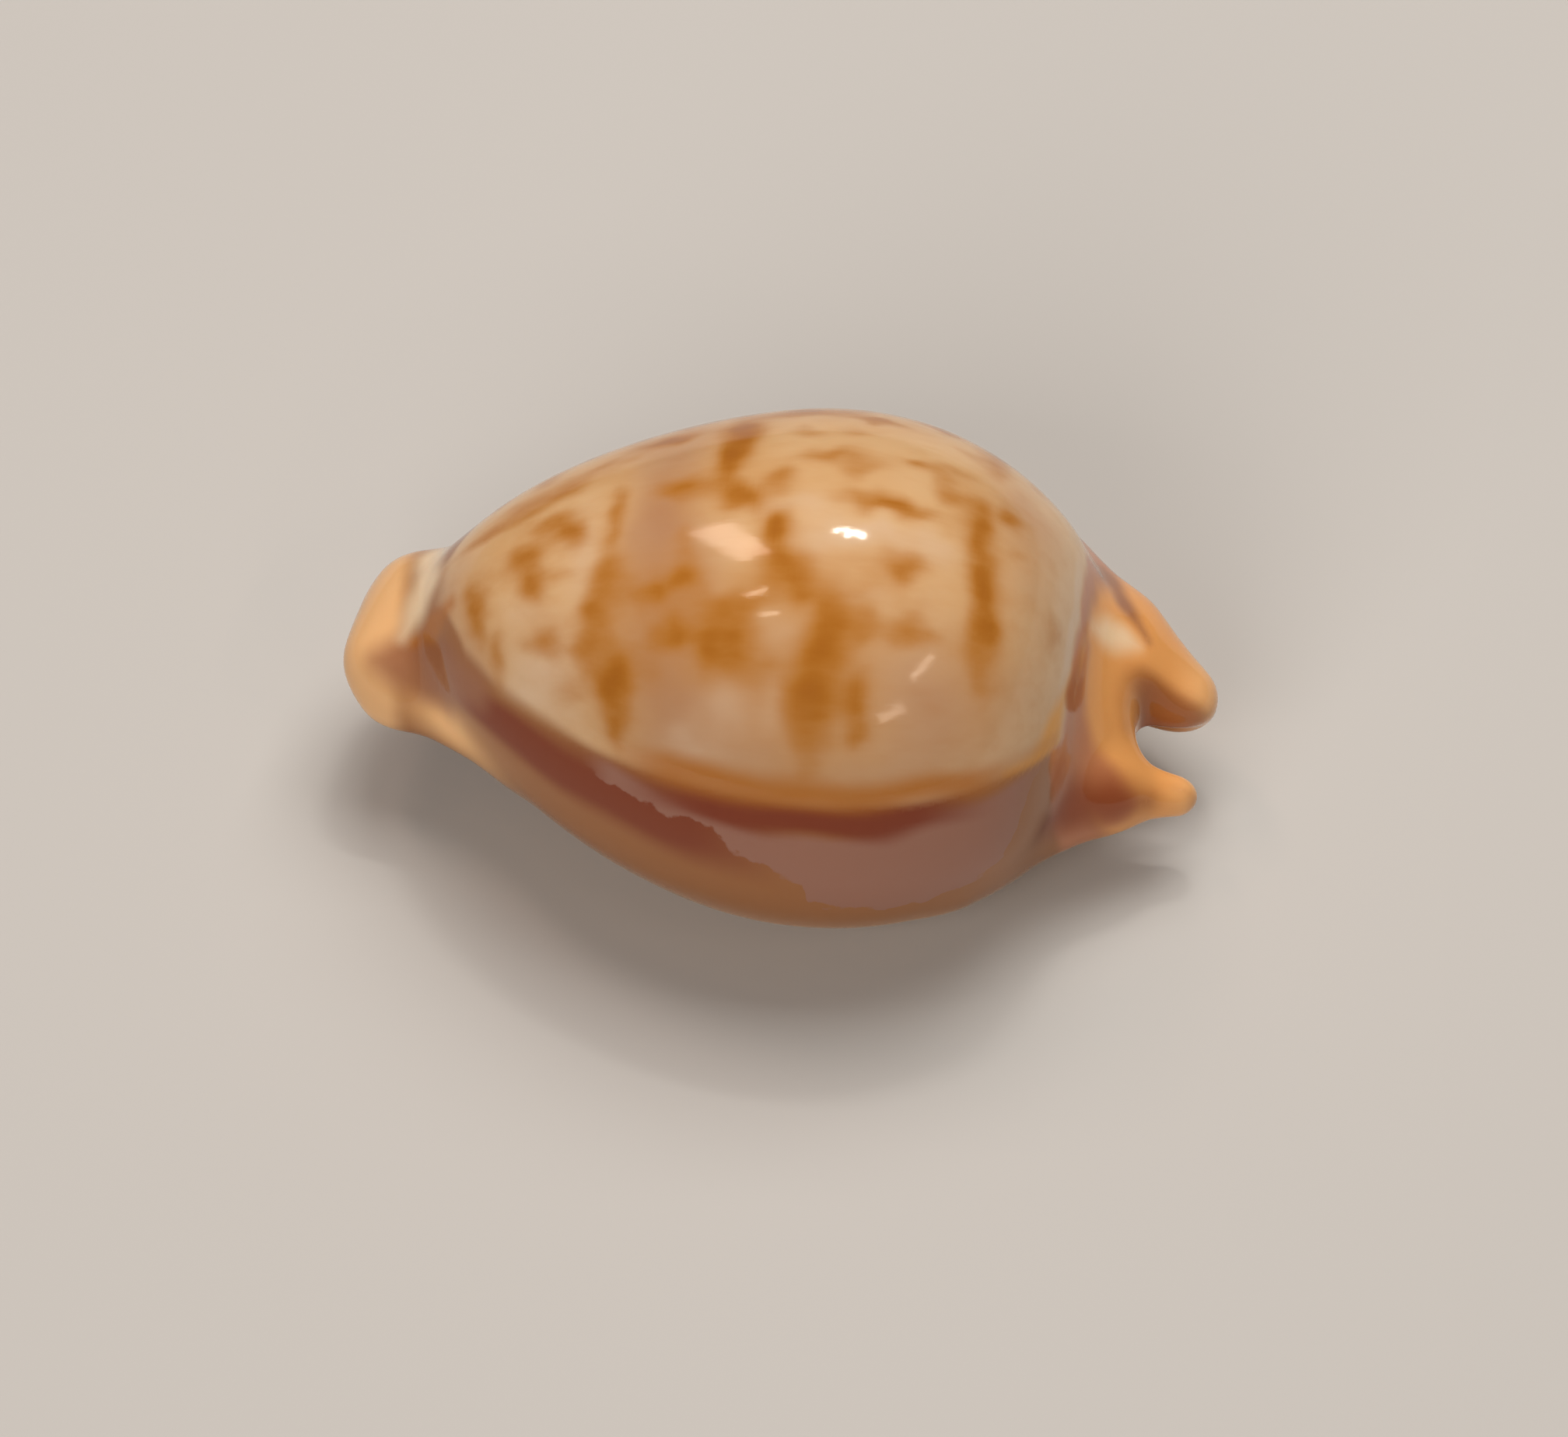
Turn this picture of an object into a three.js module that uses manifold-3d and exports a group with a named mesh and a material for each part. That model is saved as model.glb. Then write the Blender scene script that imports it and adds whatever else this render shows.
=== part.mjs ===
// A Surinam cowrie: a pear-shaped sea snail shell with a rim at its front end,
// two blunt lobes around a notch at its back end, and a toothed slit along its base.
// Millimetres. +X is the back (posterior) end, -X the front (anterior) end, +Z the dorsum.
// -Y is the columellar side, +Y the side of the outer lip. The shell rests on z = 0.

import * as THREE from 'three';
import { mergeVertices } from 'three/addons/utils/BufferGeometryUtils.js';
import Module from 'manifold-3d';

// Pear-shaped body, measured from its widest section
const GIRTH_X = -0.45;
const GIRTH_Z = 6.9;
const FRONT_REACH = 13.5;
const BACK_REACH = 13.6;
const HALF_WIDTH = 10.3;
const HEIGHT_ABOVE_GIRTH = 10.1;
const DEPTH_BELOW_GIRTH = 9.0;
const FRONT_SHIFT_Y = 0.7;
const FRONT_SHIFT_Z = 0.8;

// The back of the dorsum drops steeply to the end lobes along this slanted plane
const BACK_FACE = new THREE.Vector3(0.97, -0.2, 0.14).normalize();
const BACK_FACE_DISTANCE = 12.9;
const BACK_FACE_ROUNDING = 2.2;

// Gently domed base, lower in the middle, with a shallow valley along the slit
const BASE_LOW = -1.15;
const BASE_MIDDLE_Y = 2.2;
const BASE_ROUNDING = 2.2;
const BASE_CROSS_CURVE = 60;
const SLIT_VALLEY_DEPTH = 1.55;
const SLIT_VALLEY_WIDTH = 2.9;

// Slit of the aperture and the canals at its two ends
const SLIT_HALF_WIDTH = 0.85;
const SLIT_FRONT_EXTRA = 0.25;
const SLIT_HEIGHT = 5.0;
const BACK_CANAL_HEIGHT = 4.2;
const LIP_ROUNDING = 0.9;
const NOTCH_ROOT_X = 14.45;
const NOTCH_SHIFT_Y = 0.65;
const NOTCH_HALF_WIDTH = 0.75;

// Hollow inside the body
const WALL = 1.5;
const CAVITY_FLOOR = 3.2;
const CAVITY_FRONT = -11.2;
const CAVITY_BACK = 10.4;

// Teeth of the two lips
const TOOTH_PITCH = 1.75;
const TOOTH_RADIUS = 0.46;
const TOOTH_DEPTH = 0.32;
const LABRAL_TEETH = { first: -7, last: 7, side: 1, reach: 3.5 };
const COLUMELLAR_TEETH = { first: -6, last: 6, side: -1, reach: 2.7 };

// Spacing of the surface points: fine at the ends and along the slit, coarse between
const STATIONS_X = [[-18.4, -12.4, 0.6], [-12.4, 10.0, 1.4], [10.0, 18.4, 0.6]];
const STATIONS_Y = [[-12.5, -3.4, 1.3], [-3.4, 4.6, 0.57], [4.6, 12.4, 1.3]];
const STATIONS_Z = [[-2.05, 7.7, 0.75], [7.7, 19.4, 1.3]];

// Rounded ridges, each a row of [x, y, z, radius]
const FRONT_SNOUT = [[-7.0, 0.4, 6.4, 4.6], [-10.8, 1.2, 6.2, 2.8]];
const FRONT_NECK = [[-10.5, 1.9, 6.1, 3.0], [-14.6, 1.7, 5.5, 2.1]];
const FRONT_RIM = [
  [-14.3, 3.6, 4.8, 0.75], [-14.4, 2.9, 6.5, 0.9], [-14.9, 1.4, 6.5, 0.95],
  [-15.6, 0.0, 6.0, 0.95], [-15.1, -0.8, 5.1, 0.75],
];
const FRONT_COLUMELLAR_RIDGE = [[-15.0, -0.6, 5.2, 1.1], [-10.0, -2.6, 4.9, 1.0]];
const FRONT_LABRAL_RIDGE = [[-14.6, 3.7, 5.6, 1.1], [-9.5, 4.7, 4.6, 1.5]];
const BACK_SADDLE = [[12.2, 1.8, 5.2, 1.6], [11.9, 0.0, 4.7, 1.6], [12.2, -2.0, 4.1, 1.4]];
const BACK_BOSS = [[10.8, 2.3, 6.0, 2.0], [13.0, 2.0, 5.5, 1.5], [15.1, 1.5, 4.4, 1.25]];
const LABRAL_LOBE = [[9.6, 5.8, 6.2, 2.2], [12.7, 4.0, 5.6, 1.4], [15.2, 1.65, 4.4, 1.35]];
const COLUMELLAR_LOBE = [
  [6.5, -5.8, 4.1, 1.8], [10.5, -3.6, 4.0, 1.0], [12.8, -2.55, 3.8, 1.1], [15.3, -2.0, 3.4, 0.95],
];

const SHELL_COLOUR = 0xc8965c;

const wasm = await Module();
wasm.setup();

const clamp = THREE.MathUtils.clamp;

// Smallest of two distances, with the seam between them rounded over
function blend(a, b, rounding) {
  const h = clamp(0.5 + 0.5 * (b - a) / rounding, 0, 1);
  return b + (a - b) * h - rounding * h * (1 - h);
}

// Largest of two distances, with the edge between them rounded over
function carve(a, b, rounding) {
  return -blend(-a, -b, rounding);
}

// Distance to one stretch of a ridge, a capsule with a radius that changes evenly
function stretch(x, y, z, from, to) {
  const [ax, ay, az, aRadius] = from;
  const [bx, by, bz, bRadius] = to;
  const dx = bx - ax;
  const dy = by - ay;
  const dz = bz - az;
  const along = (x - ax) * dx + (y - ay) * dy + (z - az) * dz;
  const t = clamp(along / (dx * dx + dy * dy + dz * dz), 0, 1);
  const gap = Math.hypot(x - ax - t * dx, y - ay - t * dy, z - az - t * dz);
  return gap - (aRadius + (bRadius - aRadius) * t);
}

function ridge(x, y, z, points) {
  const rounding = 0.9;
  let distance = stretch(x, y, z, points[0], points[1]);
  for (let i = 1; i < points.length - 1; i += 1) {
    distance = blend(distance, stretch(x, y, z, points[i], points[i + 1]), rounding);
  }
  return distance;
}

// Half width, heights and centre of the body's cross-section at x
function pearSection(x) {
  const reach = x < GIRTH_X ? FRONT_REACH : BACK_REACH;
  const t = clamp((x - GIRTH_X) / reach, -1.5, 1.5);
  const girth = 0.985 + 0.21 * t - 0.11 * Math.max(t, 0) ** 2;
  const front = Math.min(t, 0) ** 2;
  return {
    reach,
    halfWidth: HALF_WIDTH * girth,
    up: HEIGHT_ABOVE_GIRTH * (girth + 0.02 * front),
    down: DEPTH_BELOW_GIRTH * (girth + 0.1 * Math.min(t, 0)),
    centreY: FRONT_SHIFT_Y * front,
    centreZ: GIRTH_Z + FRONT_SHIFT_Z * front,
  };
}

function body(x, y, z) {
  const section = pearSection(x);
  const rise = z - section.centreZ;
  const halfHeight = rise > 0 ? section.up : section.down;
  const px = (x - GIRTH_X) / section.reach;
  const py = (y - section.centreY) / section.halfWidth;
  const pz = rise / halfHeight;
  const level = Math.hypot(px, py, pz);
  const slope = Math.hypot(px / section.reach, py / section.halfWidth, pz / halfHeight) + 1e-9;
  const pear = level * (level - 1) / slope;
  const backFace = x * BACK_FACE.x + y * BACK_FACE.y + z * BACK_FACE.z - BACK_FACE_DISTANCE;
  return carve(pear, backFace, BACK_FACE_ROUNDING);
}

// Middle line of the slit, which bends to the columellar side at the back
function slitMiddle(x) {
  const t = x / 16.8;
  return 1.6 - t * t - 0.9 * t;
}

function baseHeight(x, y) {
  const t = (x / 16) ** 2;
  const valley = SLIT_VALLEY_DEPTH * Math.exp(-(((y - slitMiddle(x)) / SLIT_VALLEY_WIDTH) ** 2));
  return BASE_LOW + 2.0 * t + 1.4 * t * t + (y - BASE_MIDDLE_Y) ** 2 / BASE_CROSS_CURVE + valley;
}

function outside(x, y, z) {
  let distance = body(x, y, z);
  distance = blend(distance, ridge(x, y, z, FRONT_SNOUT), 2.0);
  distance = blend(distance, ridge(x, y, z, FRONT_NECK), 2.4);
  distance = blend(distance, ridge(x, y, z, FRONT_COLUMELLAR_RIDGE), 2.4);
  distance = blend(distance, ridge(x, y, z, FRONT_LABRAL_RIDGE), 2.0);
  distance = blend(distance, ridge(x, y, z, FRONT_RIM), 1.8);
  distance = blend(distance, ridge(x, y, z, BACK_SADDLE), 3.4);
  distance = blend(distance, ridge(x, y, z, BACK_BOSS), 2.8);
  distance = carve(distance, baseHeight(x, y) - z, BASE_ROUNDING);
  distance = blend(distance, ridge(x, y, z, LABRAL_LOBE), 1.4);
  return blend(distance, ridge(x, y, z, COLUMELLAR_LOBE), 1.6);
}

function slit(x, y, z) {
  const corner = 0.5;
  const across = Math.abs(y - slitMiddle(x));
  const halfWidth = SLIT_HALF_WIDTH + SLIT_FRONT_EXTRA * clamp(-x / 16, 0, 1);
  const height = THREE.MathUtils.lerp(SLIT_HEIGHT, BACK_CANAL_HEIGHT, clamp((x - 8) / 4, 0, 1));
  const side = Math.max(across - (halfWidth - corner), 0);
  const above = Math.max(z - (height - corner), 0);
  return Math.hypot(side, above) - corner;
}

// Notch between the two back lobes, open from base to top
function notch(x, y) {
  const corner = 0.7;
  const across = Math.abs(y - slitMiddle(x) + NOTCH_SHIFT_Y);
  const side = Math.max(across - (NOTCH_HALF_WIDTH - corner), 0);
  const ahead = Math.max(NOTCH_ROOT_X - x, 0);
  return Math.hypot(side, ahead) - corner;
}

function shellField(x, y, z) {
  const opening = blend(slit(x, y, z), notch(x, y), 0.6);
  return carve(outside(x, y, z), -opening, LIP_ROUNDING);
}

// Evenly spaced stations in each span
function stations(spans) {
  const list = [spans[0][0]];
  for (const [from, to, step] of spans) {
    const count = Math.round((to - from) / step);
    for (let i = 1; i <= count; i += 1) {
      list.push(from + (to - from) * i / count);
    }
  }
  return list;
}

// Moves a point onto the zero level of a field
function settle(point, field) {
  const e = 1e-3;
  const longestStep = 0.3;
  for (let pass = 0; pass < 4; pass += 1) {
    const { x, y, z } = point;
    const slope = new THREE.Vector3(
      field(x + e, y, z) - field(x - e, y, z),
      field(x, y + e, z) - field(x, y - e, z),
      field(x, y, z + e) - field(x, y, z - e),
    ).divideScalar(2 * e);
    const move = slope.multiplyScalar(-field(x, y, z) / Math.max(slope.lengthSq(), 1e-6));
    point.add(move.clampLength(0, longestStep));
  }
  return point;
}

// Closed surface of a field: one point in each grid cell that the surface crosses,
// and a four-sided face across each grid edge that the surface cuts
function surfaceOf(field, axes) {
  const [nx, ny, nz] = axes.map((axis) => axis.length);
  const nodeAt = (i, j, k) => (i * ny + j) * nz + k;
  const values = new Float64Array(nx * ny * nz);
  for (let i = 0; i < nx; i += 1) {
    for (let j = 0; j < ny; j += 1) {
      for (let k = 0; k < nz; k += 1) {
        values[nodeAt(i, j, k)] = field(axes[0][i], axes[1][j], axes[2][k]);
      }
    }
  }

  const sums = new Map();
  const faces = [];
  const addCrossing = (cell, crossing) => {
    const sum = sums.get(cell) ?? { point: new THREE.Vector3(), count: 0 };
    sum.point.add(crossing);
    sum.count += 1;
    sums.set(cell, sum);
  };
  const visitEdge = (node, axis) => {
    const next = node.slice();
    next[axis] += 1;
    const here = values[nodeAt(...node)];
    const there = values[nodeAt(...next)];
    if ((here < 0) === (there < 0)) {
      return;
    }
    const crossing = new THREE.Vector3(axes[0][node[0]], axes[1][node[1]], axes[2][node[2]]);
    const share = here / (here - there);
    crossing.setComponent(axis, THREE.MathUtils.lerp(axes[axis][node[axis]], axes[axis][next[axis]], share));
    const u = (axis + 1) % 3;
    const v = (axis + 2) % 3;
    const around = [[0, 0], [1, 0], [1, 1], [0, 1]].map(([du, dv]) => {
      const cell = node.slice();
      cell[u] -= du;
      cell[v] -= dv;
      return nodeAt(...cell);
    });
    around.forEach((cell) => addCrossing(cell, crossing));
    faces.push(here < 0 ? around : around.reverse());
  };
  for (let i = 1; i < nx - 1; i += 1) {
    for (let j = 1; j < ny - 1; j += 1) {
      for (let k = 1; k < nz - 1; k += 1) {
        [0, 1, 2].forEach((axis) => visitEdge([i, j, k], axis));
      }
    }
  }

  const numberOf = new Map();
  const points = [];
  for (const [cell, sum] of sums) {
    numberOf.set(cell, points.length);
    points.push(settle(sum.point.divideScalar(sum.count), field));
  }
  const triangles = [];
  for (const face of faces) {
    const [a, b, c, d] = face.map((cell) => numberOf.get(cell));
    if (points[a].distanceTo(points[c]) < points[b].distanceTo(points[d])) {
      triangles.push(a, b, c, a, c, d);
    } else {
      triangles.push(a, b, d, b, c, d);
    }
  }
  return new THREE.BufferGeometry().setFromPoints(points).setIndex(triangles);
}

// Closed solid for joining and cutting, with shared points merged and empty faces dropped
function toSolid(geometry) {
  geometry.deleteAttribute('normal');
  geometry.deleteAttribute('uv');
  const merged = mergeVertices(geometry, 1e-5);
  const index = merged.index.array;
  const kept = [];
  for (let i = 0; i < index.length; i += 3) {
    const [a, b, c] = [index[i], index[i + 1], index[i + 2]];
    if (a !== b && b !== c && c !== a) {
      kept.push(a, b, c);
    }
  }
  return new wasm.Manifold(new wasm.Mesh({
    numProp: 3,
    vertProperties: new Float32Array(merged.attributes.position.array),
    triVerts: new Uint32Array(kept),
  }));
}

function toGeometry(solid) {
  const mesh = solid.getMesh();
  const geometry = new THREE.BufferGeometry();
  geometry.setAttribute('position', new THREE.BufferAttribute(mesh.vertProperties, 3));
  geometry.setIndex(new THREE.BufferAttribute(mesh.triVerts, 1));
  return geometry;
}

// Hollow of the body: the same pear, smaller by the wall, with a raised floor
function cavity() {
  const geometry = new THREE.SphereGeometry(1, 22, 14);
  geometry.rotateZ(Math.PI / 2);
  const position = geometry.attributes.position;
  const middleX = (CAVITY_FRONT + CAVITY_BACK) / 2;
  const halfLength = (CAVITY_BACK - CAVITY_FRONT) / 2;
  for (let i = 0; i < position.count; i += 1) {
    const x = middleX + halfLength * position.getX(i);
    const section = pearSection(x);
    const px = (x - GIRTH_X) / section.reach;
    const round = Math.sqrt(Math.max(1 - px * px, 0)) / Math.sqrt(Math.max(1 - position.getX(i) ** 2, 1e-6));
    const isPole = Math.abs(position.getX(i)) > 0.999;
    const widen = isPole ? 0 : Math.min(round, 1.5);
    const y = section.centreY + position.getY(i) * (section.halfWidth * widen - WALL);
    const up = section.up * widen - WALL;
    const down = section.centreZ - CAVITY_FLOOR;
    const z = section.centreZ + position.getZ(i) * (position.getZ(i) > 0 ? up : down);
    position.setXYZ(i, x, y, z);
  }
  return toSolid(geometry);
}

// Height of the underside at a place on the base, before the slit is cut
function undersideHeight(x, y) {
  let below = BASE_LOW - 1;
  let above = GIRTH_Z;
  for (let pass = 0; pass < 24; pass += 1) {
    const middle = (below + above) / 2;
    if (outside(x, y, middle) > 0) {
      below = middle;
    } else {
      above = middle;
    }
  }
  return below;
}

// One ridge of a lip, from inside the slit outwards over the base
function tooth(x, side, reach) {
  const halfWidth = SLIT_HALF_WIDTH + SLIT_FRONT_EXTRA * clamp(-x / 16, 0, 1);
  const middle = slitMiddle(x);
  const innerY = middle + side * (halfWidth + 0.25);
  const outerY = middle + side * reach;
  const inner = new THREE.Vector3(x, innerY, undersideHeight(x, innerY) + TOOTH_DEPTH);
  const outer = new THREE.Vector3(x, outerY, undersideHeight(x, outerY) + TOOTH_DEPTH);
  const along = outer.clone().sub(inner);
  const capsule = new THREE.CapsuleGeometry(TOOTH_RADIUS, along.length(), 2, 6);
  const turn = new THREE.Quaternion().setFromUnitVectors(new THREE.Vector3(0, 1, 0), along.clone().normalize());
  capsule.applyQuaternion(turn);
  const middlePoint = inner.add(outer).multiplyScalar(0.5);
  capsule.translate(middlePoint.x, middlePoint.y, middlePoint.z);
  return toSolid(capsule);
}

function teeth() {
  const solids = [];
  for (const { first, last, side, reach } of [LABRAL_TEETH, COLUMELLAR_TEETH]) {
    for (let i = first; i <= last; i += 1) {
      const fade = 1 - 0.35 * (i / 7) ** 2;
      solids.push(tooth(i * TOOTH_PITCH, side, reach * fade));
    }
  }
  return solids;
}

// Everything below the resting plane
function ground() {
  const box = new THREE.BoxGeometry(60, 60, 10);
  box.translate(0, 0, -5);
  return toSolid(box);
}

function shellGeometry() {
  const axes = [STATIONS_X, STATIONS_Y, STATIONS_Z].map(stations);
  let solid = toSolid(surfaceOf(shellField, axes));
  solid = solid.subtract(cavity());
  for (const one of teeth()) {
    solid = solid.add(one);
  }
  solid = solid.subtract(ground());
  const geometry = toGeometry(solid);
  geometry.computeBoundingBox();
  const centre = geometry.boundingBox.getCenter(new THREE.Vector3());
  geometry.translate(-centre.x, -centre.y, -geometry.boundingBox.min.z);
  return geometry;
}

function shell() {
  const material = new THREE.MeshStandardMaterial({ color: SHELL_COLOUR, roughness: 0.18, metalness: 0 });
  const mesh = new THREE.Mesh(shellGeometry(), material);
  mesh.name = 'shell';
  return mesh;
}

const group = new THREE.Group();
group.add(shell());

export default group;
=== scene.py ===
# A Surinam cowrie shell on a pale floor, seen from above and from its columellar side.
# The shell is one smooth closed surface, worked out in millimetres from the same named
# values as the model's solid, with every tooth of its lips, and painted by masks that
# follow the body: along is millimetres from front to back, around is degrees from the top.

import math

import bpy
import numpy as np
from mathutils import Matrix, Vector

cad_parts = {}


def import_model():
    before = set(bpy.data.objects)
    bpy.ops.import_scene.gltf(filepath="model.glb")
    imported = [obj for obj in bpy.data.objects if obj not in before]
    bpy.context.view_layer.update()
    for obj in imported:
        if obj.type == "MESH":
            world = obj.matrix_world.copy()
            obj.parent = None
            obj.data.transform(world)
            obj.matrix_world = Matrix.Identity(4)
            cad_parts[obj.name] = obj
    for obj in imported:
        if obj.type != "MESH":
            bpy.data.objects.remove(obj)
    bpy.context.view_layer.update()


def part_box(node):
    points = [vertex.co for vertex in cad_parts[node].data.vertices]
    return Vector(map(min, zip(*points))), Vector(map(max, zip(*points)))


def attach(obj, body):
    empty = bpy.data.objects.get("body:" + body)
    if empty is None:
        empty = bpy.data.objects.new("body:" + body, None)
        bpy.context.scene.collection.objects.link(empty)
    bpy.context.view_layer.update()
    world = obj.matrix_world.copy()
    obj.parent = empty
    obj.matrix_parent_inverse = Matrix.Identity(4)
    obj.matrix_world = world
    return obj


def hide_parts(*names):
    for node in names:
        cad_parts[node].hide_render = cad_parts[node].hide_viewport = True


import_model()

MM = 0.001

# Pear-shaped body, measured from its widest section
GIRTH_X = -0.45
GIRTH_Z = 6.9
FRONT_REACH = 13.5
BACK_REACH = 13.6
HALF_WIDTH = 10.3
HEIGHT_ABOVE_GIRTH = 10.1
DEPTH_BELOW_GIRTH = 9.0
FRONT_SHIFT_Y = 0.7
FRONT_SHIFT_Z = 0.8
# Its width and height grow towards the back, as shares of the full size
GIRTH_SHARE = 0.985
GIRTH_GROWTH = 0.21
GIRTH_BACK_LOSS = 0.11
FRONT_TOP_RISE = 0.02
FRONT_UNDERSIDE_LOSS = 0.1

# The back of the dorsum drops steeply to the end lobes along this slanted plane
BACK_FACE = np.array((0.97, -0.2, 0.14)) / np.linalg.norm((0.97, -0.2, 0.14))
BACK_FACE_DISTANCE = 12.9
BACK_FACE_ROUNDING = 2.2

# Gently domed base with a shallow valley along the slit
BASE_LOW = -1.15
BASE_HALF_LENGTH = 16
BASE_RISE = 2.0
BASE_END_RISE = 1.4
BASE_MIDDLE_Y = 2.2
BASE_ROUNDING = 2.2
BASE_CROSS_CURVE = 60
SLIT_VALLEY_DEPTH = 1.55
SLIT_VALLEY_WIDTH = 2.9

# Slit of the aperture, the canals at its two ends and the notch at the back
SLIT_HALF_LENGTH = 16.8
SLIT_MIDDLE_Y = 1.6
SLIT_SLANT = 0.9
SLIT_HALF_WIDTH = 0.85
SLIT_FRONT_EXTRA = 0.25
SLIT_HEIGHT = 5.0
BACK_CANAL_HEIGHT = 4.2
BACK_CANAL_START_X = 8
BACK_CANAL_SLOPE = 4
LIP_ROUNDING = 0.9
NOTCH_ROOT_X = 14.45
NOTCH_SHIFT_Y = 0.65
NOTCH_HALF_WIDTH = 0.75
NOTCH_SLIT_ROUNDING = 0.6

# Hollow inside the body
WALL = 1.5
CAVITY_FLOOR = 3.2
CAVITY_FRONT = -11.2
CAVITY_BACK = 10.4
CAVITY_EDGE_ROUNDING = 1.0
CAVITY_SLIT_ROUNDING = 0.4

# Teeth of the two lips
TOOTH_PITCH = 1.75
TOOTH_RADIUS = 0.46
TOOTH_DEPTH = 0.32
TOOTH_INSET = 0.25
TOOTH_END_LOSS = 0.35
TOOTH_ROUNDING = 0.3
LABRAL_TEETH = dict(first=-7, last=7, side=1, reach=3.5)
COLUMELLAR_TEETH = dict(first=-6, last=6, side=-1, reach=2.7)

# The edge of the flat spot that the shell rests on
FLAT_SPOT_ROUNDING = 0.05

# Rounded ridges, each a row of (x, y, z, radius)
RIDGE_ROUNDING = 0.9
FRONT_SNOUT = ((-7.0, 0.4, 6.4, 4.6), (-10.8, 1.2, 6.2, 2.8))
FRONT_NECK = ((-10.5, 1.9, 6.1, 3.0), (-14.6, 1.7, 5.5, 2.1))
FRONT_RIM = (
    (-14.3, 3.6, 4.8, 0.75),
    (-14.4, 2.9, 6.5, 0.9),
    (-14.9, 1.4, 6.5, 0.95),
    (-15.6, 0.0, 6.0, 0.95),
    (-15.1, -0.8, 5.1, 0.75),
)
FRONT_COLUMELLAR_RIDGE = ((-15.0, -0.6, 5.2, 1.1), (-10.0, -2.6, 4.9, 1.0))
FRONT_LABRAL_RIDGE = ((-14.6, 3.7, 5.6, 1.1), (-9.5, 4.7, 4.6, 1.5))
BACK_SADDLE = ((12.2, 1.8, 5.2, 1.6), (11.9, 0.0, 4.7, 1.6), (12.2, -2.0, 4.1, 1.4))
BACK_BOSS = ((10.8, 2.3, 6.0, 2.0), (13.0, 2.0, 5.5, 1.5), (15.1, 1.5, 4.4, 1.25))
LABRAL_LOBE = ((9.6, 5.8, 6.2, 2.2), (12.7, 4.0, 5.6, 1.4), (15.2, 1.65, 4.4, 1.35))
COLUMELLAR_LOBE = (
    (6.5, -5.8, 4.1, 1.8),
    (10.5, -3.6, 4.0, 1.0),
    (12.8, -2.55, 3.8, 1.1),
    (15.3, -2.0, 3.4, 0.95),
)
# Ridges that join the body before its base is cut and after it, each with its seam's rounding
BODY_RIDGES = (
    (FRONT_SNOUT, 2.0),
    (FRONT_NECK, 2.4),
    (FRONT_COLUMELLAR_RIDGE, 2.4),
    (FRONT_LABRAL_RIDGE, 2.0),
    (FRONT_RIM, 1.8),
    (BACK_SADDLE, 3.4),
    (BACK_BOSS, 2.8),
)
LOBES = ((LABRAL_LOBE, 1.4), (COLUMELLAR_LOBE, 1.6))

# Surface points are this far apart, in a grid that holds the whole shell
STEP = 0.22
GRID_LOW = (-18.2, -11.6, -1.6)
GRID_HIGH = (18.2, 11.6, 18.4)

# Camera: the photo's direction and distance, and the pixel that a known point falls on
IMAGE_WIDTH = 2016
IMAGE_HEIGHT = 1847
CAMERA_AZIMUTH = 4.5
CAMERA_ELEVATION = 52
CAMERA_DISTANCE = 350
PIXELS_PER_MM = 33.4
AIM_POINT = (0, 0, 8)
AIM_PIXEL = (1008, 840)
SENSOR_WIDTH = 36
CLIP_END = 10


def blend(a, b, rounding):
    """Smallest of two distances, with the seam between them rounded over."""
    h = np.clip(0.5 + 0.5 * (b - a) / rounding, 0, 1)
    return b + (a - b) * h - rounding * h * (1 - h)


def carve(a, b, rounding):
    """Largest of two distances, with the edge between them rounded over."""
    return -blend(-a, -b, rounding)


def stretch(x, y, z, start, end):
    """Distance to one stretch of a ridge, a capsule with a radius that changes evenly."""
    dx, dy, dz = (end[i] - start[i] for i in range(3))
    along = (x - start[0]) * dx + (y - start[1]) * dy + (z - start[2]) * dz
    t = np.clip(along / (dx * dx + dy * dy + dz * dz), 0, 1)
    gap = np.sqrt((x - start[0] - t * dx) ** 2 + (y - start[1] - t * dy) ** 2 + (z - start[2] - t * dz) ** 2)
    return gap - (start[3] + (end[3] - start[3]) * t)


def ridge(x, y, z, points):
    distance = stretch(x, y, z, points[0], points[1])
    for start, end in zip(points[1:-1], points[2:]):
        distance = blend(distance, stretch(x, y, z, start, end), RIDGE_ROUNDING)
    return distance


def pear_centre(x):
    front = np.minimum((x - GIRTH_X) / FRONT_REACH, 0) ** 2
    return FRONT_SHIFT_Y * front, GIRTH_Z + FRONT_SHIFT_Z * front


def pear(x, y, z):
    """Distance to the pear, whose section grows and moves along its length."""
    reach = np.where(x < GIRTH_X, FRONT_REACH, BACK_REACH)
    t = np.clip((x - GIRTH_X) / reach, -1.5, 1.5)
    girth = GIRTH_SHARE + GIRTH_GROWTH * t - GIRTH_BACK_LOSS * np.maximum(t, 0) ** 2
    front = np.minimum(t, 0) ** 2
    half_width = HALF_WIDTH * girth
    up = HEIGHT_ABOVE_GIRTH * (girth + FRONT_TOP_RISE * front)
    down = DEPTH_BELOW_GIRTH * (girth + FRONT_UNDERSIDE_LOSS * np.minimum(t, 0))
    centre_y, centre_z = pear_centre(x)
    half_height = np.where(z > centre_z, up, down)
    px, py, pz = (x - GIRTH_X) / reach, (y - centre_y) / half_width, (z - centre_z) / half_height
    level = np.sqrt(px * px + py * py + pz * pz)
    slope = np.sqrt((px / reach) ** 2 + (py / half_width) ** 2 + (pz / half_height) ** 2) + 1e-9
    return level * (level - 1) / slope


def body(x, y, z):
    back_face = x * BACK_FACE[0] + y * BACK_FACE[1] + z * BACK_FACE[2] - BACK_FACE_DISTANCE
    return carve(pear(x, y, z), back_face, BACK_FACE_ROUNDING)


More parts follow.
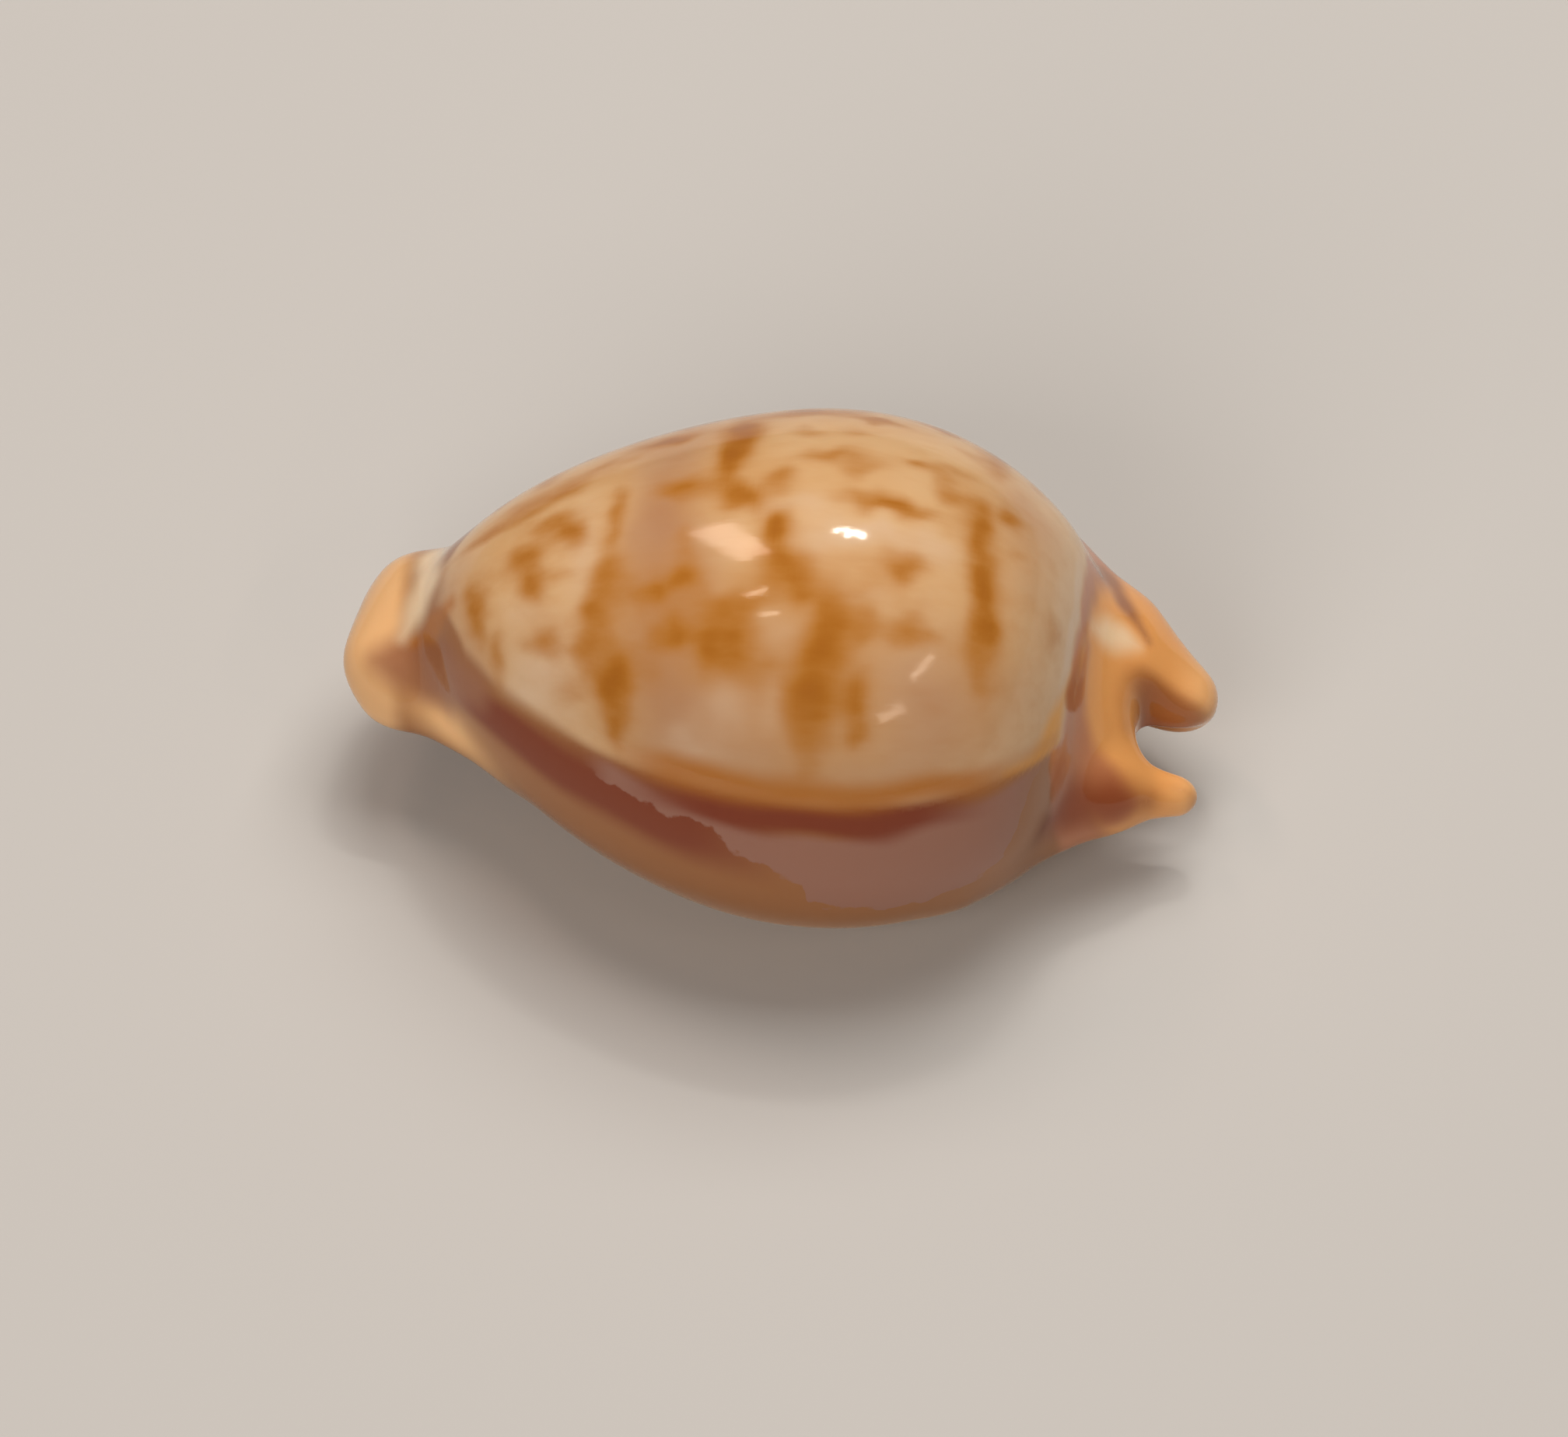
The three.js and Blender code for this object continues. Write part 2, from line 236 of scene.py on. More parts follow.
def slit_middle(x):
    """Middle line of the slit, which bends to the columellar side at the back."""
    t = x / SLIT_HALF_LENGTH
    return SLIT_MIDDLE_Y - t * t - SLIT_SLANT * t


def base_height(x, y):
    t = (x / BASE_HALF_LENGTH) ** 2
    across = (y - BASE_MIDDLE_Y) ** 2 / BASE_CROSS_CURVE
    valley = SLIT_VALLEY_DEPTH * np.exp(-(((y - slit_middle(x)) / SLIT_VALLEY_WIDTH) ** 2))
    return BASE_LOW + BASE_RISE * t + BASE_END_RISE * t * t + across + valley


def outside(x, y, z):
    """Distance to the whole outer form, before any opening is cut."""
    distance = body(x, y, z)
    for points, rounding in BODY_RIDGES:
        distance = blend(distance, ridge(x, y, z, points), rounding)
    distance = carve(distance, base_height(x, y) - z, BASE_ROUNDING)
    for points, rounding in LOBES:
        distance = blend(distance, ridge(x, y, z, points), rounding)
    return distance


def slit_half_width(x):
    return SLIT_HALF_WIDTH + SLIT_FRONT_EXTRA * np.clip(-x / BASE_HALF_LENGTH, 0, 1)


def slit(x, y, z):
    corner = 0.5
    across = np.abs(y - slit_middle(x))
    in_canal = np.clip((x - BACK_CANAL_START_X) / BACK_CANAL_SLOPE, 0, 1)
    height = SLIT_HEIGHT + (BACK_CANAL_HEIGHT - SLIT_HEIGHT) * in_canal
    side = np.maximum(across - (slit_half_width(x) - corner), 0)
    above = np.maximum(z - (height - corner), 0)
    return np.hypot(side, above) - corner


def notch(x, y):
    """Notch between the two back lobes, open from base to top."""
    corner = 0.7
    across = np.abs(y - slit_middle(x) + NOTCH_SHIFT_Y)
    side = np.maximum(across - (NOTCH_HALF_WIDTH - corner), 0)
    ahead = np.maximum(NOTCH_ROOT_X - x, 0)
    return np.hypot(side, ahead) - corner


def cavity(x, y, z):
    distance = pear(x, y, z) + WALL
    distance = carve(distance, CAVITY_FLOOR - z, CAVITY_EDGE_ROUNDING)
    distance = carve(distance, CAVITY_FRONT - x, CAVITY_EDGE_ROUNDING)
    return carve(distance, x - CAVITY_BACK, CAVITY_EDGE_ROUNDING)


def underside_height(x, y):
    """Height of the underside at places on the base, before the slit is cut."""
    halvings = 24
    below = np.full_like(x, BASE_LOW - 1)
    above = np.full_like(x, GIRTH_Z)
    for _ in range(halvings):
        middle = (below + above) / 2
        is_outside = outside(x, y, middle) > 0
        below = np.where(is_outside, middle, below)
        above = np.where(is_outside, above, middle)
    return below


def tooth_ridges():
    """Every tooth of both lips, from inside the slit outwards over the base."""
    ridges = []
    for lip in (LABRAL_TEETH, COLUMELLAR_TEETH):
        for i in range(lip["first"], lip["last"] + 1):
            x = i * TOOTH_PITCH
            fade = 1 - TOOTH_END_LOSS * (i / LABRAL_TEETH["last"]) ** 2
            inner = slit_middle(x) + lip["side"] * (slit_half_width(x) + TOOTH_INSET)
            outer = slit_middle(x) + lip["side"] * lip["reach"] * fade
            ys = np.linspace(inner, outer, 3)
            zs = underside_height(np.full(3, x), ys) + TOOTH_DEPTH
            ridges.append([(x, y, z, TOOTH_RADIUS) for y, z in zip(ys, zs)])
    return ridges


TEETH = tooth_ridges()


def teeth(x, y, z):
    """Distance to the nearest tooth. It's worked out only in a box around each tooth."""
    far = 3.0
    half_length, half_width, top = 1.2, 3.0, 5.0
    distance = np.full_like(x, far)
    for points in TEETH:
        near = np.abs(x - points[0][0]) < half_length
        near &= np.abs(y - points[1][1]) < half_width
        near &= z < top
        here = ridge(x[near], y[near], z[near], points)
        distance[near] = np.minimum(distance[near], here)
    return distance


def shell_field(x, y, z):
    """Distance to the finished shell, with its openings, hollow, teeth and flat spot."""
    opening = blend(slit(x, y, z), notch(x, y), NOTCH_SLIT_ROUNDING)
    distance = carve(outside(x, y, z), -opening, LIP_ROUNDING)
    distance = carve(distance, -cavity(x, y, z), CAVITY_SLIT_ROUNDING)
    distance = blend(distance, teeth(x, y, z), TOOTH_ROUNDING)
    return carve(distance, -z, FLAT_SPOT_ROUNDING)


def slope_of(field, points):
    """Slope of a field at many points, by central differences."""
    e = 1e-3
    x, y, z = points.T
    return np.stack((
        field(x + e, y, z) - field(x - e, y, z),
        field(x, y + e, z) - field(x, y - e, z),
        field(x, y, z + e) - field(x, y, z - e),
    ), 1) / (2 * e)


def settle(points, field, passes):
    """Moves points onto the zero level of a field, at most half a step in each pass."""
    for _ in range(passes):
        slope = slope_of(field, points)
        share = field(*points.T) / np.maximum((slope ** 2).sum(1), 1e-6)
        move = share[:, None] * slope
        length = np.linalg.norm(move, axis=1)
        points = points - move * np.minimum(1, 0.5 * STEP / np.maximum(length, 1e-9))[:, None]
    return points


def surface_of(field):
    """Closed surface of a field: one point in each grid cell that the surface crosses,
    and a four-sided face across each grid edge that the surface cuts."""
    axes = [np.arange(low, high, STEP) for low, high in zip(GRID_LOW, GRID_HIGH)]
    values = field(*np.meshgrid(*axes, indexing="ij"))
    cells = np.array(values.shape) - 1
    total = np.zeros((*cells, 3))
    count = np.zeros(cells)
    faces = []
    for axis in range(3):
        here = np.take(values, range(values.shape[axis] - 1), axis)
        there = np.take(values, range(1, values.shape[axis]), axis)
        node = np.stack(np.where((here < 0) != (there < 0)), 1)
        start, end = here[tuple(node.T)], there[tuple(node.T)]
        crossing = np.stack([axes[i][node[:, i]] for i in range(3)], 1)
        crossing[:, axis] += STEP * start / (start - end)
        around = []
        for du, dv in ((0, 0), (1, 0), (1, 1), (0, 1)):
            cell = node.copy()
            cell[:, (axis + 1) % 3] -= du
            cell[:, (axis + 2) % 3] -= dv
            np.add.at(total, tuple(cell.T), crossing)
            np.add.at(count, tuple(cell.T), 1)
            around.append(np.ravel_multi_index(tuple(cell.T), cells))
        quads = np.stack(around, 1)
        quads[start > 0] = quads[start > 0][:, ::-1]
        faces.append(quads)
    faces = np.concatenate(faces)
    used, numbered = np.unique(faces, return_inverse=True)
    points = total.reshape(-1, 3)[used] / count.reshape(-1)[used][:, None]
    return points, numbered.reshape(-1, 4)


def relax(points, faces, field, passes):
    """Evens out the points along the surface, so that reflections run smoothly."""
    edges = np.concatenate([faces[:, [i, (i + 1) % 4]] for i in range(4)])
    for _ in range(passes):
        total = np.zeros_like(points)
        np.add.at(total, edges[:, 0], points[edges[:, 1]])
        count = np.bincount(edges[:, 0], minlength=len(points))
        points = settle(0.5 * points + 0.5 * total / count[:, None], field, 2)
    return points


def smooth(value, start, end):
    """0 before start, 1 after end, and an even curve between."""
    t = np.clip((value - start) / (end - start), 0, 1)
    return t * t * (3 - 2 * t)


# Length along the dorsum of one degree around it
MM_PER_DEGREE = 0.16


def wobble(along, around, scale, seed):
    """Gentle unevenness between -1 and 1 with a given size in millimetres."""
    waves, usual_peak = 6, 3.5
    draws = np.random.default_rng(seed)
    total = np.zeros_like(along)
    for _ in range(waves):
        turn, phase = draws.uniform(0, 2 * math.pi, 2)
        size = scale * draws.uniform(0.7, 1.5)
        place = along * math.cos(turn) + MM_PER_DEGREE * around * math.sin(turn)
        total += np.sin(place * 2 * math.pi / size + phase)
    return total / usual_peak


# Soft markings of the dorsum, each a list of spots: along, around, half length, half turn, strength.
# Ochre blotches come first
BLOTCHES = (
    (-11.7, -23, 0.5, 11, 0.65), (-11.5, -38, 0.4, 9, 0.5), (-10.7, -45, 0.4, 10, 0.55),
    (-10.7, -58, 0.4, 6, 0.4), (-9.9, -8, 1.0, 9, 0.75), (-9.4, -18, 0.7, 7, 0.7), (-8.2, 0, 0.8, 7, 0.8),
    (-9.2, 5, 0.8, 4, 0.5), (-8.3, -15, 0.7, 3, 0.3), (-10.4, 17, 0.9, 4, 0.45), (-11.5, 12, 1.2, 4, 0.4),
    (-8.3, 22, 0.8, 4, 0.5), (-10.3, 25, 1.5, 5, 0.35), (-8.9, -37, 0.8, 6, 0.65),
    (-7.7, -50, 0.6, 5, 0.4), (-7.4, -38, 0.6, 3, 0.4), (-6.4, 2, 0.45, 8, 0.7),
    (-6.5, -16, 0.8, 9, 0.65), (-6.9, -30, 0.8, 9, 0.75), (-6.0, -44, 0.9, 10, 0.95),
    (-5.8, -56, 0.6, 7, 0.65), (-6.9, -42, 0.5, 5, 0.35), (-5.4, -23, 0.6, 5, 0.5),
    (-4.5, -21, 0.7, 5, 0.8), (-3.5, -18, 0.6, 6, 0.75), (-3.6, -31, 0.6, 5, 0.85),
    (-4.4, -32, 0.6, 4, 0.55), (-3.8, -7, 0.6, 5, 0.4), (-3.9, 9, 1.2, 4, 0.45), (-4.7, -40, 0.8, 5, 0.3),
    (-2.2, 18, 0.6, 9, 0.85), (-2.0, 33, 0.8, 5, 0.95), (-1.8, 4, 1.0, 4, 0.75), (-2.5, 10, 0.6, 5, 0.4),
    (-1.4, 1, 0.8, 3, 0.3), (-0.3, 9, 0.7, 4, 0.65), (-0.2, -6, 0.7, 6, 0.9), (0.1, -15, 0.9, 6, 0.75),
    (0.9, -19, 1.0, 6, 0.7), (-0.8, -23, 0.8, 4, 0.45), (-2.3, -25, 0.8, 5, 0.65),
    (-2.4, -33, 0.9, 6, 0.85), (-1.5, -35, 0.7, 6, 0.7), (-1.2, -28, 0.7, 5, 0.5),
    (-0.5, -38, 0.8, 6, 0.5), (2.2, -26, 1.0, 7, 0.75), (3.3, -27, 0.9, 3, 0.5), (1.9, -34, 0.9, 5, 0.8),
    (1.5, -43, 1.2, 7, 1.0), (3.2, -43, 0.7, 6, 0.8), (3.5, -51, 0.6, 4, 0.7), (1.7, -52, 0.8, 5, 0.55),
    (1.6, -58, 0.7, 4, 0.35), (4.1, 3, 1.5, 3, 0.75), (5.5, 2, 0.8, 2, 0.4), (2.3, 5, 1.5, 3, 0.25),
    (4.8, -13, 1.0, 4.5, 0.75), (3.2, -17, 1.2, 4, 0.3), (5.1, -28, 1.1, 4, 0.65),
    (5.3, 18, 0.8, 2.5, 0.4), (4.7, 19, 0.5, 2, 0.5), (6.2, 11, 0.7, 5, 0.65), (6.3, 21, 1.0, 3, 0.4),
    (6.9, 2, 0.6, 4, 0.35), (1.3, 16.5, 1.0, 2.5, 0.55), (3.0, 16, 1.2, 4.5, 0.5), (2.4, 11, 0.6, 3, 0.4),
    (0.6, 27, 0.7, 3, 0.4), (2.5, 28, 0.9, 3, 0.45), (1.5, 40, 1.5, 3, 0.55), (-0.3, 40, 1.5, 3, 0.5),
    (3.0, 36, 1.2, 2, 0.6), (7.5, 0, 0.55, 9, 0.75), (7.7, -13, 0.65, 10, 0.85), (7.8, -25, 0.7, 9, 0.85),
    (7.9, -38, 0.6, 8, 0.5), (7.2, 11, 0.6, 4, 0.45), (8.5, 12, 0.5, 4, 0.45), (8.9, 0, 0.5, 3, 0.35),
    (10.3, -18, 0.4, 9, 0.5), (-4.8, 34, 1.2, 4, 0.85), (-7.5, 28, 1.5, 4, 0.5), (-11.5, 15, 1.3, 4, 0.5),
    (6.8, 33, 0.8, 3, 0.35), (-1.9, 26, 0.6, 8, 0.9), (0.3, 43, 1.6, 4, 0.8), (3.2, 37, 1.2, 1.6, 0.7),
    (5.8, 44, 0.6, 3, 0.6), (-6.4, 9, 0.35, 5, 0.5), (-4.0, 8, 0.9, 4, 0.5), (-9.3, 20, 1.3, 4, 0.45),
    (8.6, 13, 0.4, 3, 0.4),
)
# Blotches of the side that the photo doesn't show
FAR_BLOTCHES = (
    (-9.5, 38, 0.7, 7, 0.7), (-7.8, 50, 0.6, 8, 0.7), (-6.0, 52, 0.7, 9, 0.9), (-3.8, 47, 0.8, 6, 0.6),
    (-2.0, 50, 0.6, 9, 0.85), (0.3, 55, 1.0, 6, 0.85), (2.2, 49, 0.9, 6, 0.7), (3.6, 57, 0.7, 6, 0.8),
    (5.3, 47, 0.9, 4, 0.65), (7.6, 50, 0.6, 10, 0.85), (7.8, 34, 0.5, 8, 0.6), (9.4, 42, 0.5, 5, 0.45),
    (-11.2, 44, 0.5, 8, 0.6), (1.0, 63, 0.8, 3, 0.6), (-4.9, 60, 0.7, 5, 0.6), (6.2, 60, 0.8, 4, 0.5),
)
# Golden tan clouds between the blotches
TAN_CLOUDS = (
    (-10.5, 5, 2.0, 14, 0.5), (-3.9, 5, 1.1, 9, 0.6), (-4.0, -29, 1.3, 11, 0.8),
    (-1.8, -30, 2.0, 16, 0.7), (1.3, -38, 2.3, 18, 0.8), (2.3, 10, 3.0, 12, 0.45),
    (4.5, -13, 2.4, 10, 0.35), (7.2, 5, 1.2, 20, 0.4), (-9.5, 22, 2.0, 8, 0.4), (3.0, 32, 4.0, 9, 0.4),
    (-6.6, -35, 1.0, 22, 0.5), (-6.6, 12, 0.9, 16, 0.4), (0.2, -14, 1.5, 9, 0.5),
    (-8.6, -33, 1.2, 9, 0.3), (7.8, -28, 1.2, 14, 0.4), (-1.8, 14, 1.6, 18, 0.6), (0.0, 52, 9.0, 12, 0.5),
    (-11.4, -30, 1.0, 18, 0.35), (-9.5, 22, 3.0, 7, 0.6), (-5.5, 35, 3.0, 6, 0.7), (0.5, 42, 4.0, 7, 0.7),
)
# Pinkish brown bands, and one belt above the dorsum's lower edge
PINK_CLOUDS = (
    (-4.6, 2, 1.5, 24, 0.9), (-4.3, -40, 1.7, 20, 0.8), (-4.3, -18, 1.8, 16, 0.8),
    (-1.0, -42, 5.5, 22, 0.65), (-4.2, 28, 2.0, 10, 0.45), (-12.8, -15, 1.0, 25, 0.45),
    (2.0, -60, 7.0, 7, 0.4), (9.3, 0, 1.4, 26, 0.4), (6.5, -43, 3.2, 18, 0.65),
    (-12.4, -50, 1.6, 14, 0.6), (-4.4, 55, 1.6, 14, 0.7), (9.0, 20, 1.4, 12, 0.4),
)
# Lilac-white patches
PALE_CLOUDS = (
    (-8.4, -44, 1.5, 13, 0.75), (-7.6, -8, 0.6, 14, 0.55), (-1.6, -47, 0.8, 4, 0.4),
    (0.2, -47, 0.6, 5, 0.4), (-2.9, -57, 1.2, 4, 0.35), (3.6, -6, 1.8, 4, 0.5), (1.2, -9, 0.8, 5, 0.5),
    (5.9, -7, 1.0, 5, 0.4), (10.8, -10, 0.4, 25, 0.3), (0.2, 1, 1.5, 3, 0.5), (-9.6, -27, 0.8, 5, 0.4),
    (-10.0, -57, 1.5, 5, 0.4), (2.6, -8, 0.8, 4, 0.3), (3.2, -21, 1.0, 2.5, 0.3), (0.3, -30, 0.7, 4, 0.3),
)


def cover(along, around, spots, spread=1.0):
    """Soft-edged spots with slightly uneven outlines, added up without going past 1."""
    shift_x = 0.14 * wobble(along, around, 2.2, 3) + 0.06 * wobble(along, around, 1.0, 4)
    shift_a = 1.4 * wobble(along, around, 2.0, 5) + 0.6 * wobble(along, around, 1.0, 6)
    bare = np.ones_like(along)
    for x, turn, half_length, half_turn, strength in spots:
        reach = np.hypot((along + shift_x - x) / half_length, (around + shift_a - turn) / half_turn) / spread
        bare *= 1 - strength * np.exp(-0.9 * reach ** 2.2)
    return 1 - bare


def follow(value, knots):
    """A line through a few given points."""
    return np.interp(value, *zip(*knots))


def band(value, middle, full, reach):
    """1 within a full half width of a middle line, fading out to 0 at its reach."""
    return 1 - smooth(np.abs(value - middle), full, reach)


# Lower edge of the painted dorsum, as degrees around the body at places along it
DORSUM_LOW = (
    (-14, -20), (-13, -26), (-12.5, -38), (-12, -50), (-10.6, -59), (-9, -62), (-7, -64), (-5, -65.5),
    (-3, -66), (-1, -66.5), (2.5, -67), (5, -66.5), (8, -65), (9.5, -64.5), (12, -64),
)
# Back edge of the painted dorsum, as places along the body at degrees around it. It holds at
# a named distance from the pear's centre line, and outside that the edge leans to the back
DORSUM_BACK = (
    (-90, 11.0), (-60, 11.0), (-36, 11.1), (-15, 11.3), (0, 11.4), (13, 11.2), (60, 11.0), (90, 10.9),
)
DORSUM_BACK_RADIUS = 4.3
DORSUM_BACK_LEAN = 0.5
# Lilac callus below the dorsum, between its upper and its ragged lower edge
CALLUS_HIGH = (
    (-8, -65), (-6, -67.5), (-4, -71), (-2, -72.5), (0, -75), (2.5, -76), (4, -73.5), (8, -69), (10, -66),
)
CALLUS_LOW = (
    (-8, -68), (-6, -73), (-4, -76), (-2, -76), (-1.7, -78), (-1.2, -82), (0, -84.5), (1, -87),
    (1.5, -90), (1.6, -95), (2.3, -97.5), (4, -99), (6, -100), (8, -98), (8.8, -95), (9.3, -88),
    (9.8, -75), (10.6, -60),
)
# Dark stripe from the front rim to the start of the callus
STRIPE = ((-14, -72), (-12, -73), (-10, -74), (-8, -77), (-6, -78.5), (-4, -79.5), (-2, -80.5), (1, -83))
# Where each band of the flank runs along the shell: starts, is full, starts to fade, and ends
OCHRE_EDGE_RUN = (-6.5, -3.5, 7.5, 9.5)
RED_EDGE_RUN = (-6.0, -2.0, 5.5, 9.0)
STRIPE_RUN = (-14.0, -12.0, -3.0, 1.5)
CALLUS_RUN = (-7.2, -5.8, 9.2, 10.6)
# Orange patch of the margin near the front rim: its middle and its spread, along and around
ORANGE_MARGIN = (-12.8, -108)
ORANGE_MARGIN_SPREAD = (2.0, 18)
# Marks at the two ends, among them painted shade in the crease and below the columellar lobe's root, and the
# valley's mauve, partly painted shade: softness of the edge, and a row of (x, y, z, radius) like a ridge
END_MARKS = {
    "furrow": (0.55, (
        (-13.4, 4.6, 7.0, 0.4), (-13.8, 3.1, 8.7, 0.6), (-13.9, 1.3, 9.3, 0.6), (-14.2, 0.5, 8.8, 0.4),
        (-14.7, -0.3, 8.0, 0.1),
    )),
    "front_shade": (0.7, (
        (-15.7, -1.0, 7.3, 0.3), (-14.7, -1.1, 7.4, 0.8), (-13.7, -1.6, 7.6, 1.1),
        (-12.6, -2.8, 8.8, 0.9), (-11.6, -3.8, 9.5, 0.8),
    )),
    "front_ochre": (0.35, (
        (-12.8, -0.7, 10.7, 0.3), (-13.4, -0.8, 9.4, 0.35), (-14.3, -0.6, 8.1, 0.2),
    )),
    "boss": (0.5, (
        (11.8, 0.9, 9.7, 0.1), (12.4, 1.3, 8.8, 0.4), (13.0, 1.5, 8.4, 0.3), (13.6, 1.5, 7.9, 0.0),
    )),
    # Painted shade: a dark streak in the crease between the dorsum and the labral lobe
    "crease_shade": (0.4, (
        (11.8, 4.3, 9.1, 0.5), (12.3, 4.6, 8.1, 0.4), (12.9, 3.3, 8.2, 0.3), (13.9, 2.0, 7.7, 0.1),
    )),
    # Mauve along the concave valley between the dorsum and the back lobes: partly the shell's own colour,
    # partly painted shade
    "valley": (0.5, (
        (11.6, -0.2, 9.7, 0.3), (11.4, -2.0, 9.1, 0.5), (11.6, -3.0, 7.6, 0.6), (12.2, -3.7, 5.9, 0.9),
        (13.1, -4.0, 4.8, 0.9),
    )),
    # Painted shade: brown on the lower side of the columellar lobe's root
    "lobe_root_shade": (0.8, (
        (10.5, -5.9, 5.9, 0.5), (11.4, -4.7, 5.6, 0.9), (12.9, -3.9, 5.0, 0.8), (14.3, -3.2, 4.3, 0.3),
    )),
    "golden": (0.45, (
        (10.9, -3.0, 10.3, 0.2), (10.6, -4.3, 9.8, 0.5), (10.4, -5.1, 9.3, 0.6), (9.0, -7.0, 10.2, 0.2),
    )),
}


def run(x, places, fade=1.0):
    """1 along the middle of a run, 0 before it, and less by the fade after it."""
    start, full, fading, end = places
    return smooth(x, start, full) * (1 - fade * smooth(x, fading, end))


def flank_masks(x, near, uneven, ragged):
    """Masks of the flank: edges of the dorsum, dark bands, callus and front margin."""
    low = follow(x, DORSUM_LOW)
    softness = 3 + 5 * smooth(-x, 6, 11)
    front_run = band(x, -13.4, 0.5, 1.3) * run(-near, (40, 60, 96, 116))
    stripe = band(near, follow(x, STRIPE) + 1.5 + 1.5 * uneven, 4, 13) * run(x, STRIPE_RUN)
    callus_top = smooth(follow(x, CALLUS_HIGH) - near + uneven, -2.0, 2.0)
    margin_x = (x - ORANGE_MARGIN[0]) / ORANGE_MARGIN_SPREAD[0]
    margin_turn = (near - ORANGE_MARGIN[1]) / ORANGE_MARGIN_SPREAD[1]
    return {
        "dorsum": smooth(near - low + 1.2 * uneven, -0.5 * softness, 0.8 * softness),
        "ochre_edge": band(near, low + 2.2 + 1.5 * uneven, 0.5, 6.2) * run(x, OCHRE_EDGE_RUN, 0.6),
        "red_edge": band(near, low - 4.3 + 1.2 * uneven, 1.8, 6.2) * run(x, RED_EDGE_RUN),
        "stripe": np.maximum(stripe, 0.5 * front_run),
        "callus": near - follow(x, CALLUS_LOW) + 1.1 * ragged,
        "callus_top": callus_top * run(x, CALLUS_RUN),
        "orange_margin": np.exp(-(margin_x ** 2 + margin_turn ** 2)),
    }


def end_masks(points, normals, around, behind):
    """Masks of the two ends: their marks, orange lobes, peach rim, a painted highlight along the dorsum's
    back lip, and painted shade on the dark notch wall.
    """
    x = points[:, 0]
    masks = {}
    for name, (softness, places) in END_MARKS.items():
        masks[name] = 1 - smooth(ridge(*points.T, places), -softness, softness)
    back = smooth(behind, 0.3, 1.2 + 0.5 * smooth(np.abs(around), 10, 50))
    masks["back"] = back
    # The valley's mauve, partly painted shade, also runs in a band just behind the dorsum's back edge
    masks["valley"] = np.maximum(masks["valley"], smooth(behind, -1.2, -0.7) * (1 - 0.9 * back))
    # Painted highlight: a thin pale line along the dorsum's back edge, where the edge catches the light
    masks["back_lip_highlight"] = band(behind, -0.4, 0.1, 0.45) * band(around, -5, 20, 45)
    masks["rim"] = np.maximum(1 - smooth(x, -15.3, -14.3), 0.6 * smooth(x, 14.6, 16.4))
    # Painted shade: the notch's inner wall under the labral lobe, the faces looking towards the columellar
    # side, is darkened
    masks["notch_wall_shade"] = smooth(-normals[:, 1], 0.1, 0.8) * (1 - smooth(notch(x, points[:, 1]), 0.3, 1.3))
    return masks


def base_masks(x, y, z, normals):
    """Masks of the base: its flat face, teeth, the gutters between them and the inside."""
    under = smooth(-normals[:, 2], 0.25, 0.85) * (1 - smooth(z, 3.0, 5.0))
    tooth = (1 - smooth(teeth(x, y, z), 0.0, 0.2)) * under
    inside = 1 - smooth(slit(x, y, z), -0.35, 0.25)
    inside = np.maximum(inside * (1 - smooth(x, 12.0, 13.6)), 1 - smooth(cavity(x, y, z), 0.2, 0.6))
    return {
        "under": under,
        "tooth": tooth,
        "gutter": band(y, slit_middle(x), 2.0, 4.2) * under * (1 - tooth),
        "inside": inside,
    }


def paint_masks(points, normals):
    """The masks that the material mixes its colours by, one number for each point."""
    x, y, z = points.T
    centre_y, centre_z = pear_centre(x)
    around = np.degrees(np.arctan2(y - centre_y, z - centre_z))
    near = -np.abs(around)
    uneven = wobble(x, around, 3.0, 11)
    ragged = wobble(x, around, 1.0, 12)
    from_axis = np.hypot(y - centre_y, z - centre_z)
    lean = DORSUM_BACK_LEAN * (DORSUM_BACK_RADIUS - from_axis)
    behind = x - follow(around, DORSUM_BACK) + lean + 0.1 * uneven
    masks = {
        "blotch": cover(x, around, BLOTCHES + FAR_BLOTCHES),
        "haze": cover(x, around, BLOTCHES + FAR_BLOTCHES, 1.7),
        "tan_cloud": cover(x, around, TAN_CLOUDS),
        "pink_cloud": cover(x, around, PINK_CLOUDS),
        "pale_cloud": cover(x, around, PALE_CLOUDS),
    }
    masks.update(flank_masks(x, near, uneven, ragged))
    masks.update(end_masks(points, normals, around, behind))
    masks.update(base_masks(x, y, z, normals))
    masks["dorsum"] *= smooth(-behind, -0.3, 0.3) * smooth(x, -13.7, -12.8)
    masks["ochre_edge"] *= smooth(-behind, 0.1, 0.6)
    return masks


# Colours, as linear red, green and blue
CREAM = (0.68, 0.46, 0.26, 1)
GOLDEN_TAN = (0.57, 0.31, 0.12, 1)
PINK = (0.37, 0.17, 0.09, 1)
LILAC_WHITE = (0.66, 0.50, 0.37, 1)
OCHRE = (0.42, 0.155, 0.014, 1)
DARK_OCHRE = (0.32, 0.10, 0.01, 1)
GOLDEN_OCHRE = (0.72, 0.32, 0.03, 1)
EDGE_OCHRE = (0.42, 0.135, 0.008, 1)
RED_BROWN = (0.20, 0.03, 0.006, 1)
LILAC = (0.32, 0.15, 0.105, 1)
TAN = (0.32, 0.125, 0.038, 1)
ORANGE_TAN = (0.95, 0.55, 0.24, 1)
ORANGE = (0.78, 0.36, 0.11, 1)
PEACH = (0.80, 0.47, 0.22, 1)
PALE = (0.86, 0.68, 0.46, 1)
MAUVE = (0.50, 0.19, 0.085, 1)
# Dark mauve laid as painted shade, in the back crease and at the front end
SHADE_MAUVE = (0.33, 0.135, 0.065, 1)
BASE = (0.72, 0.42, 0.20, 1)
GUTTER = (0.55, 0.24, 0.08, 1)
TOOTH = (0.85, 0.69, 0.50, 1)
INSIDE = (0.62, 0.46, 0.40, 1)
FLOOR_COLOUR = (0.52, 0.51, 0.50, 1)


